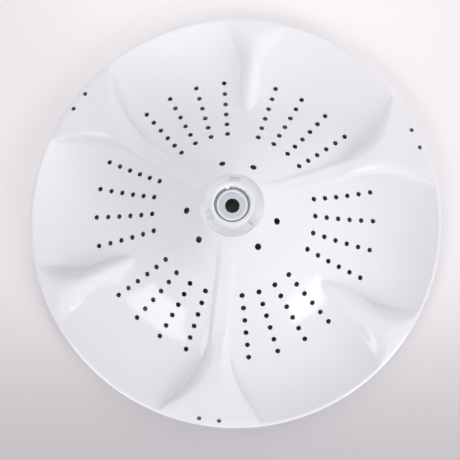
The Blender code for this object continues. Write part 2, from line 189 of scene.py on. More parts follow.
def ring_rule(radius):
    """What the face's rule needs to know at one radius."""
    return (radius, dish_height(radius), broad_half_width(radius), broad_shoulder(radius),
            broad_roundness(radius), broad_rise(radius), ridge_half_width(radius),
            ridge_rise(radius))


def face_height(rule, angle):
    """Height of the upper face, fins and all, on one ring."""
    radius, dish, half_width, shoulder, roundness, rise, ridge_width, crest = rule
    side = abs((angle + SECTOR / 2.0) % SECTOR - SECTOR / 2.0)
    if radius > face_edge:
        return RIM_HEIGHT - LIP_DROP * (radius - face_edge) / LIP_WIDTH
    height = dish
    past_edge = max(radius * side - (half_width - shoulder), 0.0)
    if past_edge < shoulder:
        height += rise * (1.0 - (past_edge / shoulder) ** 2) ** roundness
    from_crest = radius * (SECTOR / 2.0 - side)
    if from_crest < ridge_width:
        height += crest * (1.0 - (from_crest / ridge_width) ** RIDGE_ROUNDNESS)
    if radius > rim_slope_start:
        slope = RIM_SLOPE_RISE * (face_edge - radius) / RIM_SLOPE_WIDTH
        height = min(height, RIM_HEIGHT + slope)
    return height


def eased_ring(radius):
    """A ring's height at any angle, with the creases eased as in a polished mould."""
    rules = [ring_rule(radius + step * CREASE_EASE) for step in (-1.0, 0.0, 1.0)]
    weights = (1.0, 2.0, 1.0)

    def height(angle):
        total = 0.0
        for rule, out in zip(rules, weights):
            for step, along in zip((-1.0, 0.0, 1.0), weights):
                total += out * along * face_height(rule, angle + step * CREASE_EASE / radius)
        return total / sum(weights) ** 2
    return height


def spread(start, end, count):
    """Evenly spaced values from start up to, but not with, end."""
    return [start + (end - start) * i / count for i in range(count)]


def half_sector_angles(radius):
    """Angles from a broad fin's centre line to a short fin's crest, close where the face bends."""
    foot = broad_half_width(radius)
    shoulder = broad_shoulder(radius)
    ridge = max(ridge_half_width(radius), RIDGE_COLUMNS_MIN)
    crest = SECTOR / 2.0
    dish_from = (foot + CREASE_TOE) / radius
    dish_to = crest - (ridge + CREASE_TOE) / radius
    angles = spread(0.0, (foot - shoulder) / radius, TOP_COLUMNS)
    for turn in spread(0.0, 0.5 * math.pi, SHOULDER_COLUMNS):
        angles.append((foot - shoulder * (1.0 - math.sin(turn))) / radius)
    angles += spread(foot / radius, dish_from, TOE_COLUMNS)
    angles += spread(dish_from, dish_to, DISH_COLUMNS)
    angles += spread(dish_to, crest - ridge / radius, TOE_COLUMNS)
    return angles + spread(crest - ridge / radius, crest, RIDGE_COLUMNS)


def column_angles(radius):
    """Angles of one ring's points, all the way round and back to the first."""
    half = half_sector_angles(radius)
    sector = half + [SECTOR / 2.0] + [SECTOR - angle for angle in reversed(half[1:])]
    return [fin * SECTOR + angle for fin in range(3) for angle in sector] + [3 * SECTOR]


def apply_modifier(piece, kind, **settings):
    """Put a modifier on a piece and apply it."""
    modifier = piece.modifiers.new(kind.lower(), kind)
    for name, value in settings.items():
        setattr(modifier, name, value)
    bpy.context.view_layer.objects.active = piece
    bpy.ops.object.modifier_apply(modifier=modifier.name)


def pick_edges(piece, wanted):
    """Open a piece for editing with only the wanted edges picked."""
    bpy.context.view_layer.objects.active = piece
    bpy.ops.object.mode_set(mode="EDIT")
    bpy.ops.mesh.select_mode(type="EDGE")
    bpy.ops.mesh.select_all(action="DESELECT")
    edit = bmesh.from_edit_mesh(piece.data)
    for edge in edit.edges:
        middle = 0.5 * (edge.verts[0].co + edge.verts[1].co)
        edge.select_set(wanted(edge, math.hypot(middle.x, middle.y), middle.z))
    bmesh.update_edit_mesh(piece.data)


# The sheet is a grid laid on the face ring by ring, turned down at the rim as a flange. Its rings
# lie closer at the noses of the short fins, where their ends are trimmed and at the rim. Each
# band below has the radius that it starts at and how many rings it has.
RING_BANDS = ((29.4 * MM, 25), (100.0 * MM, 3), (104.5 * MM, 8), (112.5 * MM, 20),
              (RIDGE_FLARE_START, 16), (rim_slope_start - 1.5 * MM, 5),
              (rim_slope_start + 2.0 * MM, 6), (face_edge - 1.4 * MM, 5),
              (face_edge + 0.7 * MM, 1), (rim_radius, 1))
WELD = 0.01 * MM
rings = []
for (start, count), (end, _) in zip(RING_BANDS, RING_BANDS[1:]):
    rings += spread(start, end, count)
rings += [rim_radius, rim_radius]
columns = len(column_angles(rim_radius)) - 1

bpy.ops.mesh.primitive_grid_add(x_subdivisions=columns, y_subdivisions=len(rings) - 1, size=1.0)
disc = bpy.context.object
disc.name = "moulded_disc"
ring_heights = [eased_ring(radius) for radius in rings]
ring_angles = [column_angles(radius) for radius in rings]
for point in disc.data.vertices:
    column = round((point.co.x + 0.5) * columns)
    ring = round((point.co.y + 0.5) * (len(rings) - 1))
    turn = ring_angles[ring][column]
    height = FLANGE_BOTTOM if ring == len(rings) - 1 else ring_heights[ring](turn)
    point.co = (rings[ring] * math.cos(turn), rings[ring] * math.sin(turn), height)

pick_edges(disc, lambda edge, radius, height: True)
bpy.ops.mesh.remove_doubles(threshold=WELD)
bpy.ops.mesh.normals_make_consistent(inside=False)
bpy.ops.object.mode_set(mode="OBJECT")
if sum(face.normal.z for face in disc.data.polygons) < 0.0:
    disc.data.flip_normals()
apply_modifier(disc, "SOLIDIFY", thickness=WALL, offset=-1.0, use_even_offset=True,
               use_rim=False)

# The rim's edges are rounded, over the lip and under the flange.
RIM_ROUND = 1.2 * MM
FLANGE_ROUND = 0.6 * MM
NEAR = 0.1 * MM


def level_line(edge):
    """Whether an edge runs round the axis."""
    first, second = edge.verts[0].co, edge.verts[1].co
    return abs(first.xy.length - second.xy.length) < NEAR and abs(first.z - second.z) < NEAR


pick_edges(disc, lambda edge, radius, height: edge.is_boundary and radius > face_edge)
bpy.ops.mesh.bridge_edge_loops()
pick_edges(disc, lambda edge, radius, height: level_line(edge)
           and height < FLANGE_BOTTOM + NEAR)
bpy.ops.mesh.bevel(offset=FLANGE_ROUND, segments=3)
pick_edges(disc, lambda edge, radius, height: level_line(edge)
           and radius > rim_radius - NEAR and height > RIM_HEIGHT - 2.0 * LIP_DROP)
bpy.ops.mesh.bevel(offset=RIM_ROUND, segments=5)
bpy.ops.object.mode_set(mode="OBJECT")


# The hub, moulded in one with the face: a step down to the ledge that carries the centre cap,
# the boss, the groove round the metal insert, and the sleeve below that grips the insert.
LEDGE_HEIGHT = 102.0 * MM
WEB_THICKNESS = 4.0 * MM
BOSS_RADIUS = 17.6 * MM
BOSS_BORE = 14.6 * MM
SLEEVE_RADIUS_AT_BOTTOM = 17.0 * MM
SLEEVE_BOTTOM = 44.0 * MM
GROOVE_DEPTH = 1.4 * MM
FIT_GAP = 0.3 * MM
HUB_SIDE_INSIDE = 24.2 * MM
HUB_SIDE_OUTSIDE = 27.6 * MM
HUB_SIDE_STEPS = 10
HUB_LEAD = 0.5 * MM
WEB_RADIUS = 27.0 * MM
SKIN_EDGES_BETWEEN = 28.6 * MM
BOSS_ROUND = 0.7 * MM
FOOT_ROUND = 0.6 * MM
SLEEVE_ROUND = 1.2 * MM
boss_top = body_high.z
insert_low, insert_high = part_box("drive_insert")
insert_top = insert_high.z
insert_bottom = insert_low.z
INSERT_RADIUS = 12.9 * MM
bore = INSERT_RADIUS + FIT_GAP
web_bottom = LEDGE_HEIGHT - WEB_THICKNESS


def rounded(middle_radius, middle_height, size, start, end, steps):
    """Points of a rounded corner in the section, from the start angle to the end angle."""
    turns = [math.radians(start + (end - start) * i / steps) for i in range(steps + 1)]
    return [(middle_radius + size * math.cos(turn), middle_height + size * math.sin(turn))
            for turn in turns]


def extrude_rings(outline):
    """Extrude the picked ring along an outline of (radius, height) points round the axis."""
    piece = bpy.context.object
    edit = bmesh.from_edit_mesh(piece.data)
    picked = next(vert for vert in edit.verts if vert.select)
    radius = math.hypot(picked.co.x, picked.co.y)
    for new_radius, height in outline:
        bpy.ops.mesh.extrude_edges_indiv()
        share = new_radius / radius
        bpy.ops.transform.resize(value=(share, share, 0.0), center_override=(0.0, 0.0, height))
        radius = new_radius


hub_outline = [(HUB_SIDE_OUTSIDE + HUB_LEAD, dish_height(HUB_SIDE_OUTSIDE + HUB_LEAD))]
for share in spread(1.0, 0.0, HUB_SIDE_STEPS) + [0.0]:
    radius = HUB_SIDE_INSIDE + (HUB_SIDE_OUTSIDE - HUB_SIDE_INSIDE) * share
    step_down = (dish_height(radius) - LEDGE_HEIGHT) * smooth_step(share)
    hub_outline.append((radius, LEDGE_HEIGHT + step_down))
hub_outline += rounded(BOSS_RADIUS + FOOT_ROUND, LEDGE_HEIGHT + FOOT_ROUND, FOOT_ROUND,
                       -90.0, -180.0, 3)
hub_outline += rounded(BOSS_RADIUS - BOSS_ROUND, boss_top - BOSS_ROUND, BOSS_ROUND,
                       0.0, 90.0, 4)
hub_outline += rounded(BOSS_BORE + BOSS_ROUND, boss_top - BOSS_ROUND, BOSS_ROUND,
                       90.0, 180.0, 4)
hub_outline += [
    (BOSS_BORE, insert_top - GROOVE_DEPTH),
    (bore, insert_top - GROOVE_DEPTH),
    (bore, SLEEVE_BOTTOM + FIT_GAP),
    (bore + FIT_GAP, SLEEVE_BOTTOM),
    (SLEEVE_RADIUS_AT_BOTTOM - FIT_GAP, SLEEVE_BOTTOM),
    (SLEEVE_RADIUS_AT_BOTTOM, SLEEVE_BOTTOM + FIT_GAP),
]
hub_outline += rounded(BOSS_RADIUS + SLEEVE_ROUND, web_bottom - SLEEVE_ROUND, SLEEVE_ROUND,
                       180.0, 90.0, 3)
hub_outline += [(WEB_RADIUS, web_bottom)]

# The skin's upper inner edge is drawn on round the outline, and meets the lower one under the web.
pick_edges(disc, lambda edge, radius, height: edge.is_boundary
           and radius > SKIN_EDGES_BETWEEN)
extrude_rings(hub_outline)
pick_edges(disc, lambda edge, radius, height: edge.is_boundary)
bpy.ops.mesh.bridge_edge_loops()
bpy.ops.mesh.select_all(action="SELECT")
bpy.ops.mesh.remove_doubles(threshold=WELD)
bpy.ops.mesh.normals_make_consistent(inside=False)
bpy.ops.object.mode_set(mode="OBJECT")


# The bridge in the groove, moulded in one with the boss, and the ribs under the disc. They are
# joined to the skin, as the mould makes them in one shot.
KEY_ANGLE = math.radians(81.8)
KEY_WIDTH = 3.4 * MM
KEY_RISE = 8.6 * MM
KEY_EDGE = 0.3 * MM
RIB_INSET = 14.5 * MM
RIB_FOOT_RADIUS = 118.0 * MM
RIB_THICKNESS = 2.4 * MM
RIB_EDGE = 0.5 * MM
RIB_EDGE_FROM = math.radians(60.0)
RIB_ANGLE = math.radians(30.9)
RIB_STEPS = 40


def place_at(piece, radius, turn, height=0.0):
    """Move a piece's points from the origin to their place round the axis."""
    across, along = math.cos(turn), math.sin(turn)
    for point in piece.data.vertices:
        out = radius + point.co.x
        side = point.co.y
        x = out * across - side * along
        y = out * along + side * across
        point.co = (x, y, point.co.z + height)


def joined(pieces, name):
    """Several pieces made one mesh."""
    bpy.ops.object.select_all(action="DESELECT")
    for piece in pieces:
        piece.select_set(True)
    bpy.context.view_layer.objects.active = pieces[0]
    bpy.ops.object.join()
    pieces[0].name = name
    bpy.ops.object.select_all(action="DESELECT")
    return pieces[0]


def boolean(piece, operation, other):
    """Join another piece to this one, or cut it away."""
    apply_modifier(piece, "BOOLEAN", operation=operation, object=other, solver="EXACT")
    bpy.data.objects.remove(other)


def block(length, width, height, edge):
    """A block round the origin, long across the radius, with rounded upright edges."""
    bpy.ops.mesh.primitive_cube_add(size=1.0)
    piece = bpy.context.object
    bpy.ops.object.mode_set(mode="EDIT")
    bpy.ops.transform.resize(value=(width, length, height))
    bpy.ops.object.mode_set(mode="OBJECT")
    pick_edges(piece, lambda line, radius, z: abs(line.verts[0].co.z - line.verts[1].co.z)
               > 0.5 * height)
    bpy.ops.mesh.bevel(offset=edge, segments=3)
    bpy.ops.object.mode_set(mode="OBJECT")
    return piece


key_width = 0.5 * (BOSS_RADIUS + BOSS_BORE) - bore
key_height = KEY_RISE + GROOVE_DEPTH + WALL
key = block(KEY_WIDTH, key_width, key_height, KEY_EDGE)
place_at(key, bore + 0.5 * key_width, KEY_ANGLE,
         insert_top - FIT_GAP + KEY_RISE - 0.5 * key_height)

rib_start = 0.5 * (INSERT_RADIUS + SLEEVE_RADIUS_AT_BOTTOM)
rib_radii = spread(rib_start, rim_radius - RIB_INSET, RIB_STEPS - 1)
rib_radii += [rim_radius - RIB_INSET, rim_radius - 0.5 * WALL]
ribs = []
for fin in range(3):
    for turn in (0.0, RIB_ANGLE, -RIB_ANGLE):
        bpy.ops.mesh.primitive_grid_add(x_subdivisions=RIB_STEPS, y_subdivisions=1, size=1.0)
        rib = bpy.context.object
        angle = fin * SECTOR + turn
        for point in rib.data.vertices:
            radius = rib_radii[round((point.co.x + 0.5) * RIB_STEPS)]
            inward = max(RIB_FOOT_RADIUS - radius, 0.0) / (RIB_FOOT_RADIUS - rib_start)
            outward = max(radius - rim_radius + RIB_INSET, 0.0) / RIB_INSET
            foot = SLEEVE_BOTTOM * inward ** 2 + (FLANGE_BOTTOM + 0.5 * WALL) * outward
            outside = max(radius, HUB_EDGE_RADIUS + 0.5 * WALL)
            slope = (dish_height(outside + MM) - dish_height(outside)) / MM
            top = face_height(ring_rule(outside), angle) - 0.5 * WALL * math.hypot(1.0, slope)
            top = min(top, LEDGE_HEIGHT - 0.5 * WEB_THICKNESS)
            height = foot if point.co.y < 0.0 else top
            point.co = (radius * math.cos(angle), radius * math.sin(angle), height)
        apply_modifier(rib, "SOLIDIFY", thickness=RIB_THICKNESS, offset=0.0)
        ribs.append(rib)
mouldings = joined(ribs, "ribs")
apply_modifier(mouldings, "BEVEL", width=RIB_EDGE, segments=2, limit_method="ANGLE",
               angle_limit=RIB_EDGE_FROM)
boolean(disc, "UNION", joined([mouldings, key], "mouldings"))


# The holes. Each third has eight rows of six drain holes, two larger holes near the hub and two
# small ones at the end of the broad fin, all moulded upright with a slightly eased edge. The
# ledge has three shallow seats for the cap's clips, and the sleeve a pocket for the insert.
ROW_HOLE_RADIUS = 2.45 * MM
ROW_FIRST_RADIUS = 77.1 * MM
ROW_PITCH = 12.58 * MM
ROW_FIRST_ANGLE = math.radians(12.9)
ROW_ANGLE_PITCH = math.radians(12.02)
INNER_HOLE_RADIUS = 2.75 * MM
INNER_HOLE_PLACE = 39.2 * MM
INNER_HOLE_ANGLE = math.radians(40.0)
RIM_HOLE_RADIUS = 2.2 * MM
RIM_HOLE_INSET = 7.0 * MM
RIM_HOLE_ANGLE = math.radians(2.8)
HOLE_EDGE = 0.3 * MM
PIN_REACH = 9.0 * MM
PIN_SIDES = 24
PIN_LEVELS = 3
ROWS = 4
ROW_HOLES = 6
CLIP_SEAT_LENGTH = 7.6 * MM
CLIP_SEAT_WIDTH = 5.0 * MM
CLIP_SEAT_DEPTH = 1.0 * MM
CLIP_SEAT_PLACE = 20.3 * MM
CLIP_SEAT_EDGE = 0.3 * MM
COLLAR_SIDES = 6
COLLAR_RADIUS = 15.0 * MM
COLLAR_HEIGHT = 12.0 * MM
COLLAR_BOTTOM = 62.0 * MM

hole_places = []
for fin in range(3):
    for side in (-1.0, 1.0):
        for row in range(ROWS):
            angle = fin * SECTOR + side * (ROW_FIRST_ANGLE + row * ROW_ANGLE_PITCH)
            for step in range(ROW_HOLES):
                hole_places.append((ROW_FIRST_RADIUS + step * ROW_PITCH, angle,
                                    ROW_HOLE_RADIUS))
        hole_places.append((INNER_HOLE_PLACE, fin * SECTOR + side * INNER_HOLE_ANGLE,
                            INNER_HOLE_RADIUS))
        hole_places.append((rim_radius - RIM_HOLE_INSET, fin * SECTOR + side * RIM_HOLE_ANGLE,
                            RIM_HOLE_RADIUS))

bpy.ops.mesh.primitive_circle_add(vertices=PIN_SIDES, radius=1.0, fill_type="NGON")
pin = bpy.context.object
bpy.ops.object.mode_set(mode="EDIT")
for _ in range(PIN_LEVELS):
    bpy.ops.mesh.extrude_region_move(TRANSFORM_OT_translate={"value": (0.0, 0.0, 1.0)})
bpy.ops.mesh.select_all(action="SELECT")
bpy.ops.mesh.normals_make_consistent(inside=False)
bpy.ops.object.mode_set(mode="OBJECT")
pins = []
for radius, angle, hole in hole_places:
    copy = bpy.data.objects.new("pin", pin.data.copy())
    bpy.context.collection.objects.link(copy)
    surface = eased_ring(radius)(angle)
    slope_out = (eased_ring(radius + 0.5 * MM)(angle) - eased_ring(radius - 0.5 * MM)(angle)) / MM
    step = MM / radius
    slope_side = (eased_ring(radius)(angle + 0.5 * step)
                  - eased_ring(radius)(angle - 0.5 * step)) / MM
    for point in copy.data.vertices:
        level = round(point.co.z)
        width = hole if level < 2 else hole + 2.0 * HOLE_EDGE
        x, y = point.co.x * width, point.co.y * width
        tilt = slope_out * x + slope_side * y
        heights = (-PIN_REACH, tilt - HOLE_EDGE, tilt + HOLE_EDGE, PIN_REACH)
        point.co = (x, y, surface + heights[level])
    place_at(copy, radius, angle)
    pins.append(copy)
bpy.data.objects.remove(pin)
boolean(disc, "DIFFERENCE", joined(pins, "pins"))

cutters = []
for fin in range(3):
    seat = block(CLIP_SEAT_LENGTH, CLIP_SEAT_WIDTH, 2.0 * CLIP_SEAT_DEPTH, CLIP_SEAT_EDGE)
    place_at(seat, CLIP_SEAT_PLACE, (fin + 0.5) * SECTOR, LEDGE_HEIGHT)
    cutters.append(seat)
bpy.ops.mesh.primitive_cylinder_add(vertices=COLLAR_SIDES, radius=COLLAR_RADIUS + FIT_GAP,
                                    depth=COLLAR_HEIGHT + 2.0 * FIT_GAP)
pocket = bpy.context.object
place_at(pocket, 0.0, 0.0, COLLAR_BOTTOM + 0.5 * COLLAR_HEIGHT)
cutters.append(pocket)
boolean(disc, "DIFFERENCE", joined(cutters, "cutters"))


# The finish of the disc. Glossy white plastic with a faint violet cast: broad moulding waves
# that bend the reflections a little, a very fine grain, and light rubbing from use. Inside the
# boss a painted light makes the wall whiter, and a painted shade greys the groove at its bottom.
PLASTIC_COLOUR = (0.78, 0.78, 0.82, 1.0)
PLASTIC_SHADE = (0.765, 0.768, 0.812, 1.0)
GLOSS = 0.09
RUBBED = 0.15
WAVE_DEPTH = 0.4 * MM
GRAIN_DEPTH = 0.01 * MM
SMOOTH_UP_TO = math.radians(32.0)
# Painted light whitens the boss's inner wall; painted shade greys the groove at its bottom.
BORE_PAINTED_LIGHT = (0.93, 0.93, 0.93, 1.0)
PAINTED_LIGHT_BORE_FROM = 14.8 * MM
PAINTED_LIGHT_BORE_TO = 15.4 * MM
GROOVE_PAINTED_SHADE = (0.56, 0.60, 0.62, 1.0)
GROOVE_SHADE_TOP = 0.7 * MM


def new_group(name, inputs, outputs):
    """A node group with named number inputs and outputs, and a Position input."""
    group = bpy.data.node_groups.new(name, "ShaderNodeTree")
    group.interface.new_socket("Position", in_out="INPUT", socket_type="NodeSocketVector")
    for socket in inputs:
        group.interface.new_socket(socket, in_out="INPUT", socket_type="NodeSocketFloat")
    for socket in outputs:
        group.interface.new_socket(socket, in_out="OUTPUT", socket_type="NodeSocketFloat")
    return group, group.nodes.new("NodeGroupInput"), group.nodes.new("NodeGroupOutput")


def add_node(tree, kind, values=(), **settings):
    """A node with its settings and the values of its named sockets."""
    node = tree.nodes.new(kind)
    for name, value in settings.items():
        setattr(node, name, value)
    for name, value in values:
        node.inputs[name].default_value = value
    return node


def fine_finish():
    """Grain, broad waves and rub marks, for any of the pieces."""
    inputs = ("Grain Scale", "Wave Scale", "Rub Scale")
    group, given, result = new_group("fine_finish", inputs, ("Grain", "Waves", "Rub"))
    link = group.links.new
    grain = add_node(group, "ShaderNodeTexNoise", [("Detail", 3.0)])
    waves = add_node(group, "ShaderNodeTexNoise", [("Detail", 1.0), ("Roughness", 0.3)])
    rub = add_node(group, "ShaderNodeTexNoise", [("Detail", 6.0), ("Roughness", 0.7),
                                                 ("Distortion", 0.6)])
    sparse = add_node(group, "ShaderNodeMapRange", [("From Min", 0.52), ("From Max", 0.72)],
                      interpolation_type="SMOOTHSTEP")
    for texture, scale in ((grain, "Grain Scale"), (waves, "Wave Scale"), (rub, "Rub Scale")):
        link(given.outputs["Position"], texture.inputs["Vector"])
        link(given.outputs[scale], texture.inputs["Scale"])
    link(grain.outputs["Fac"], result.inputs["Grain"])
    link(waves.outputs["Fac"], result.inputs["Waves"])
    link(rub.outputs["Fac"], sparse.inputs["Value"])
    link(sparse.outputs["Result"], result.inputs["Rub"])
    return group


def new_material(name):
    """A material, its node tree, its shader and its object coordinates."""
    material = bpy.data.materials.new(name)
    material.use_nodes = True
    tree = material.node_tree
    place = tree.nodes.new("ShaderNodeTexCoord")
    return material, tree, tree.nodes["Principled BSDF"], place.outputs["Object"]


def place_group(tree, group, position, values):
    """Put a node group in a material, with its values."""
    node = tree.nodes.new("ShaderNodeGroup")
    node.node_tree = group
    tree.links.new(position, node.inputs["Position"])
    for name, value in values:
        node.inputs[name].default_value = value
    return node


def mix_colour(tree, mask, first, second):
    """A colour between two, by a mask. Each is a colour or another node's output."""
    mix = add_node(tree, "ShaderNodeMix", data_type="RGBA")
    sockets = [socket for socket in mix.inputs if socket.type == "RGBA"]
    for socket, colour in zip(sockets, (first, second)):
        if isinstance(colour, tuple):
            socket.default_value = colour
        else:
            tree.links.new(colour, socket)
    tree.links.new(mask, mix.inputs["Factor"])
    return next(socket for socket in mix.outputs if socket.type == "RGBA")


def map_value(tree, value, low, high, minimum=0.0, maximum=1.0):
    """A value brought from one range to another."""
    node = add_node(tree, "ShaderNodeMapRange", [("From Min", minimum), ("From Max", maximum),
                                                 ("To Min", low), ("To Max", high)])
    tree.links.new(value, node.inputs["Value"])
    return node.outputs["Result"]


def combine(tree, operation, first, second):
    """Two values put together by a sum, a product or the like."""
    node = add_node(tree, "ShaderNodeMath", operation=operation)
    tree.links.new(first, node.inputs[0])
    tree.links.new(second, node.inputs[1])
    return node.outputs["Value"]


def vector_length(tree, vector):
    """How long a vector is."""
    node = add_node(tree, "ShaderNodeVectorMath", operation="LENGTH")
    tree.links.new(vector, node.inputs[0])
    return node.outputs["Value"]


def height_of(tree, position):
    """How high a place lies."""
    parts = add_node(tree, "ShaderNodeSeparateXYZ")
    tree.links.new(position, parts.inputs["Vector"])
    return parts.outputs["Z"]


def axis_distance(tree, position):
    """How far a place is from the disc's axis."""
    parts = add_node(tree, "ShaderNodeSeparateXYZ")
    tree.links.new(position, parts.inputs["Vector"])
    flat = add_node(tree, "ShaderNodeCombineXYZ")
    for axis in "XY":
        tree.links.new(parts.outputs[axis], flat.inputs[axis])
    return vector_length(tree, flat.outputs["Vector"])


def soft_mask(tree, value, start, end):
    """A mask that eases from 0 to 1 as a value goes from start to end."""
    node = add_node(tree, "ShaderNodeMapRange", [("From Min", start), ("From Max", end)],
                    interpolation_type="SMOOTHERSTEP")
    tree.links.new(value, node.inputs["Value"])
    return node.outputs["Result"]


def bump(tree, height, distance, strength, before=None):
    """A bump from a height, over another if there is one."""
    node = add_node(tree, "ShaderNodeBump", [("Distance", distance), ("Strength", strength)])
    tree.links.new(height, node.inputs["Height"])
    if before is not None:
        tree.links.new(before, node.inputs["Normal"])
    return node.outputs["Normal"]


finish = fine_finish()
plastic, tree, shader, position = new_material("gloss_white_plastic")
marks = place_group(tree, finish, position, [("Grain Scale", 900.0), ("Wave Scale", 28.0),
                                             ("Rub Scale", 16.0)])
link = tree.links.new
# Inside the boss the colour is painted: painted light on the wall, painted shade in the groove.
outside_painted_bore = map_value(tree, axis_distance(tree, position), 0.0, 1.0, PAINTED_LIGHT_BORE_FROM, PAINTED_LIGHT_BORE_TO)
face_colour = mix_colour(tree, marks.outputs["Waves"], PLASTIC_SHADE, PLASTIC_COLOUR)
above_groove_painted_shade = soft_mask(tree, height_of(tree, position), insert_top, insert_top + GROOVE_SHADE_TOP)
bore_painted_light_and_shade = mix_colour(tree, above_groove_painted_shade, GROOVE_PAINTED_SHADE, BORE_PAINTED_LIGHT)
link(mix_colour(tree, outside_painted_bore, bore_painted_light_and_shade, face_colour), shader.inputs["Base Color"])
link(map_value(tree, marks.outputs["Rub"], GLOSS, RUBBED), shader.inputs["Roughness"])
waves_normal = bump(tree, marks.outputs["Waves"], WAVE_DEPTH, 0.5)
link(bump(tree, marks.outputs["Grain"], GRAIN_DEPTH, 0.5, waves_normal), shader.inputs["Normal"])

disc.data.materials.clear()
disc.data.materials.append(plastic)
bpy.context.view_layer.objects.active = disc
disc.select_set(True)
bpy.ops.object.shade_smooth_by_angle(angle=SMOOTH_UP_TO)
disc.select_set(False)
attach(disc, "root")
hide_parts("pulsator_body")


# The drive insert. Turned from bright steel and moulded into the boss: a seat and a bore for
# the bolt on top, a six-sided collar that keeps it from turning, and a toothed socket below.
INSERT_EDGE = 0.3 * MM
BOLT_SEAT_RADIUS = 10.4 * MM
BOLT_SEAT_DEPTH = 3.6 * MM
BOLT_BORE = 5.9 * MM
BOLT_WEB = 9.0 * MM
SPLINE_TEETH = 12
SPLINE_ROOT = 9.6 * MM
SPLINE_TIP = 8.5 * MM
TOOTH_SIDES = 4
TURN_STEPS = 96

seat_height = insert_top - BOLT_SEAT_DEPTH
insert_outline = rounded(INSERT_RADIUS - INSERT_EDGE, insert_bottom + INSERT_EDGE, INSERT_EDGE,
                         -90.0, 0.0, 3)
insert_outline += rounded(INSERT_RADIUS - INSERT_EDGE, insert_top - INSERT_EDGE, INSERT_EDGE,
                          0.0, 90.0, 3)
insert_outline += rounded(BOLT_SEAT_RADIUS + 0.5 * INSERT_EDGE, insert_top - 0.5 * INSERT_EDGE,
                          0.5 * INSERT_EDGE, 90.0, 180.0, 3)
insert_outline += rounded(BOLT_SEAT_RADIUS - INSERT_EDGE, seat_height + INSERT_EDGE,
                          INSERT_EDGE, 0.0, -90.0, 3)
insert_outline += rounded(BOLT_BORE + 0.5 * INSERT_EDGE, seat_height - 0.5 * INSERT_EDGE,
                          0.5 * INSERT_EDGE, 90.0, 180.0, 3)
insert_outline += [(BOLT_BORE, insert_bottom)]
bpy.ops.mesh.primitive_circle_add(vertices=TURN_STEPS, radius=BOLT_BORE,
                                  location=(0.0, 0.0, insert_bottom))
insert = bpy.context.object
insert.name = "turned_insert"
bpy.ops.object.transform_apply(location=True)
bpy.ops.object.mode_set(mode="EDIT")
extrude_rings(insert_outline)
bpy.ops.mesh.select_all(action="SELECT")
bpy.ops.mesh.remove_doubles(threshold=WELD)
bpy.ops.mesh.normals_make_consistent(inside=False)
bpy.ops.object.mode_set(mode="OBJECT")

bpy.ops.mesh.primitive_cylinder_add(vertices=COLLAR_SIDES, radius=COLLAR_RADIUS,
                                    depth=COLLAR_HEIGHT)
collar = bpy.context.object
place_at(collar, 0.0, 0.0, COLLAR_BOTTOM + 0.5 * COLLAR_HEIGHT)
apply_modifier(collar, "BEVEL", width=0.5 * INSERT_EDGE, segments=2)
bpy.ops.mesh.primitive_cylinder_add(vertices=TURN_STEPS, depth=2.0 * COLLAR_HEIGHT,
                                    radius=0.5 * (SPLINE_ROOT + INSERT_RADIUS))
core = bpy.context.object
place_at(core, 0.0, 0.0, COLLAR_BOTTOM + 0.5 * COLLAR_HEIGHT)
boolean(collar, "DIFFERENCE", core)
boolean(insert, "UNION", collar)

socket_top = seat_height - BOLT_WEB
socket_bottom = insert_bottom - WALL
bpy.ops.mesh.primitive_cylinder_add(vertices=TOOTH_SIDES * SPLINE_TEETH, radius=SPLINE_ROOT,
                                    depth=socket_top - socket_bottom)
spline = bpy.context.object
for point in spline.data.vertices:
    turn = math.atan2(point.co.y, point.co.x)
    side = round(turn / (2.0 * math.pi) * TOOTH_SIDES * SPLINE_TEETH - 0.5) % TOOTH_SIDES
    reach = SPLINE_TIP if side < TOOTH_SIDES // 2 else SPLINE_ROOT
    height = point.co.z + 0.5 * (socket_top + socket_bottom)
    point.co = (reach * math.cos(turn), reach * math.sin(turn), height)
boolean(insert, "DIFFERENCE", spline)


# The finish of the insert. Satin metal with fine turning marks round the axis. Below its top
# face, in the bolt seat, the bores and on the sides, it is greyer with painted shade.
STEEL_COLOUR = (0.83, 0.86, 0.88, 1.0)
STEEL_SHADE = (0.77, 0.80, 0.82, 1.0)
SEAT_PAINTED_SHADE = (0.64, 0.66, 0.71, 1.0)
TURNING_PITCH = 0.35 * MM
TURNING_DEPTH = 0.03 * MM
TURNING_RANGE = (0.3, 0.7)
SATIN = 0.24
DULLED = 0.42


def turned_marks():
    """Fine rings round the axis, a little uneven, as a turning tool leaves them."""
    group, given, result = new_group("turned_marks", ("Pitch",), ("Marks",))
    link = group.links.new
    count = combine(group, "DIVIDE", axis_distance(group, given.outputs["Position"]),
                    given.outputs["Pitch"])
    uneven = add_node(group, "ShaderNodeTexNoise", [("Scale", 1.7), ("Detail", 4.0)],
                      noise_dimensions="1D")
    link(count, uneven.inputs["W"])
    link(uneven.outputs["Fac"], result.inputs["Marks"])
    return group


steel, tree, shader, position = new_material("turned_bright_steel")
marks = place_group(tree, finish, position, [("Grain Scale", 1500.0), ("Wave Scale", 120.0),
                                             ("Rub Scale", 60.0)])
turning = place_group(tree, turned_marks(), position, [("Pitch", TURNING_PITCH)])
link = tree.links.new
shader.inputs["Metallic"].default_value = 1.0
# Painted shade: everything below the insert's top face takes the darker seat colour.
upper = map_value(tree, height_of(tree, position), 0.0, 1.0, insert_top - INSERT_EDGE - MM,
                  insert_top - INSERT_EDGE)
rim_colour = mix_colour(tree, marks.outputs["Waves"], STEEL_SHADE, STEEL_COLOUR)
link(mix_colour(tree, upper, SEAT_PAINTED_SHADE, rim_colour), shader.inputs["Base Color"])
link(map_value(tree, turning.outputs["Marks"], SATIN, DULLED, *TURNING_RANGE),
     shader.inputs["Roughness"])
grain_normal = bump(tree, marks.outputs["Grain"], GRAIN_DEPTH, 0.4)
link(bump(tree, turning.outputs["Marks"], TURNING_DEPTH, 0.6, grain_normal),
     shader.inputs["Normal"])

